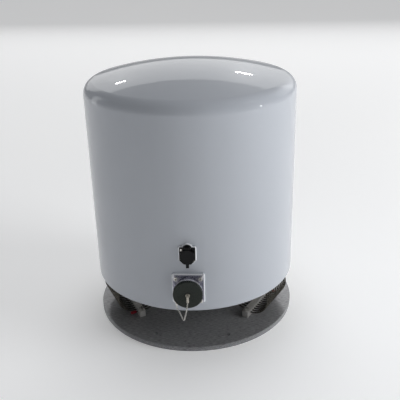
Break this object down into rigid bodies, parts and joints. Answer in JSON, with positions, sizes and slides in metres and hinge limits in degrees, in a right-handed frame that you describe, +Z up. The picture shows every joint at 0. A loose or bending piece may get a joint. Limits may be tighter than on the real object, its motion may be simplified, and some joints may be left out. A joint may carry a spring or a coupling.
{
  "type": "radome tracking antenna",
  "caption": "Stabilised satellite tracking antenna in a glossy white domed radome, on wire rope isolators and a round steel base plate, with capped connectors.",
  "frame": {"origin": "centre of the base plate's underside", "axes": "+Z up along the radome's axis, -Y out of the connectors' faces, +X to the right seen from the connectors"},
  "size_m": [0.3719, 0.4027, 0.4663],
  "materials": {
    "white_gloss": "glossy white gel coat",
    "plate_paint": "semi-gloss dark grey paint",
    "bar_metal": "machined, clear anodised",
    "rope_steel": "stranded stainless wire",
    "stainless": "bright stainless",
    "red_plastic": "soft vinyl",
    "pan_paint": "matte dark paint",
    "ring_metal": "machined",
    "seal_white": "white silicone",
    "seal_black": "black rubber",
    "nickel": "satin nickel plate",
    "cap_olive": "matte olive-black conversion coat",
    "black_plastic": "moulded",
    "gold": "gold plated",
    "cast_metal": "machined",
    "gear_steel": "hobbed",
    "bearing_steel": "ground",
    "motor_black": "satin black",
    "dish_white": "matte white",
    "case_grey": "satin grey",
    "lead_black": "cable jacket"
  },
  "bodies": {
    "base": {"base_plate": "plate_paint", "lower_bar_bolts": "stainless", "lower_bar_left": "bar_metal", "lower_bar_right": "bar_metal", "lower_bar_rear": "bar_metal", "wire_rope_left": "rope_steel", "wire_rope_right": "rope_steel", "wire_rope_rear": "rope_steel", "rope_end_caps": "red_plastic"},
    "suspended": {"upper_bar_left": "bar_metal", "upper_bar_right": "bar_metal", "upper_bar_rear": "bar_metal", "upper_bar_bolts": "stainless", "pan": "pan_paint", "pan_seal": "seal_black", "radome_ring": "ring_metal", "radome_screws": "stainless", "radome": "white_gloss", "power_seal": "seal_white", "power_connector_shell": "nickel", "power_insert": "black_plastic", "power_contacts": "gold", "power_screws": "stainless", "power_backshell": "nickel", "chain_anchor": "stainless", "data_seal": "seal_white", "data_connector_body": "black_plastic", "data_hinge_pin": "stainless", "data_screws": "stainless", "pedestal": "cast_metal", "azimuth_bearing_outer": "bearing_steel", "azimuth_motor": "motor_black", "slip_ring_stator": "case_grey", "power_unit": "case_grey", "power_lead": "lead_black", "data_lead": "lead_black"},
    "azimuth": {"turntable": "cast_metal", "azimuth_bearing_inner": "bearing_steel", "azimuth_gear": "gear_steel", "slip_ring_rotor": "black_plastic", "yoke": "cast_metal", "elevation_bearings": "bearing_steel", "elevation_motor": "motor_black", "control_unit": "case_grey"},
    "azimuth_pinion_body": {"azimuth_pinion": "gear_steel"},
    "elevation": {"reflector": "dish_white", "dish_bracket": "cast_metal", "elevation_shafts": "bearing_steel", "elevation_gear": "gear_steel", "counterweight": "motor_black", "sub_reflector": "dish_white", "sub_reflector_struts": "motor_black"},
    "elevation_pinion_body": {"elevation_pinion": "gear_steel"},
    "feed": {"feed_horn": "ring_metal", "transceiver": "case_grey"},
    "cap_slide": {"cap_swivel": "stainless", "cap_chain": "stainless"},
    "cap": {"dust_cap": "cap_olive", "cap_seal": "seal_black"},
    "data_lid": {"data_cover": "black_plastic"}
  },
  "joints": [
    {"name": "shock_travel", "type": "slide", "parent": "base", "child": "suspended", "axis": [0, 0, 1], "range_m": [-0.01, 0.005], "stiffness_N_per_m": 20000, "springref_m": 0.0045, "deforming": ["wire_rope_left", "wire_rope_right", "wire_rope_rear"]},
    {"name": "azimuth_turn", "type": "hinge", "parent": "suspended", "child": "azimuth", "pos_m": [0, 0, 0.134], "axis": [0, 0, 1], "continuous": true},
    {"name": "azimuth_pinion_spin", "type": "hinge", "parent": "suspended", "child": "azimuth_pinion_body", "pos_m": [-0.056, 0, 0.13], "axis": [0, 0, 1], "continuous": true},
    {"name": "elevation_tilt", "type": "hinge", "parent": "azimuth", "child": "elevation", "pos_m": [0, 0, 0.27238], "axis": [-1, 0, 0], "range_deg": [-5, 90]},
    {"name": "elevation_pinion_spin", "type": "hinge", "parent": "azimuth", "child": "elevation_pinion_body", "pos_m": [0, 0, 0.22438], "axis": [-1, 0, 0], "range_deg": [-450, 25]},
    {"name": "feed_turn", "type": "hinge", "parent": "elevation", "child": "feed", "pos_m": [0, -0.03, 0.27238], "axis": [0, -1, 0], "range_deg": [-90, 90]},
    {"name": "cap_pull", "type": "slide", "parent": "suspended", "child": "cap_slide", "axis": [0, -1, 0], "range_m": [0, 0.024]},
    {"name": "cap_turn", "type": "hinge", "parent": "cap_slide", "child": "cap", "pos_m": [0, -0.2, 0.1285], "axis": [0, -1, 0], "range_deg": [0, 120]},
    {"name": "data_cover_flip", "type": "hinge", "parent": "suspended", "child": "data_lid", "pos_m": [0, -0.1927, 0.2074], "axis": [-1, 0, 0], "range_deg": [0, 105], "stiffness_Nm_per_rad": 0.01, "springref_deg": -17.19}
  ],
  "couplings": [
    {"joint": "azimuth_pinion_spin", "follows": "azimuth_turn", "ratio": -6},
    {"joint": "elevation_pinion_spin", "follows": "elevation_tilt", "ratio": -5}
  ]
}
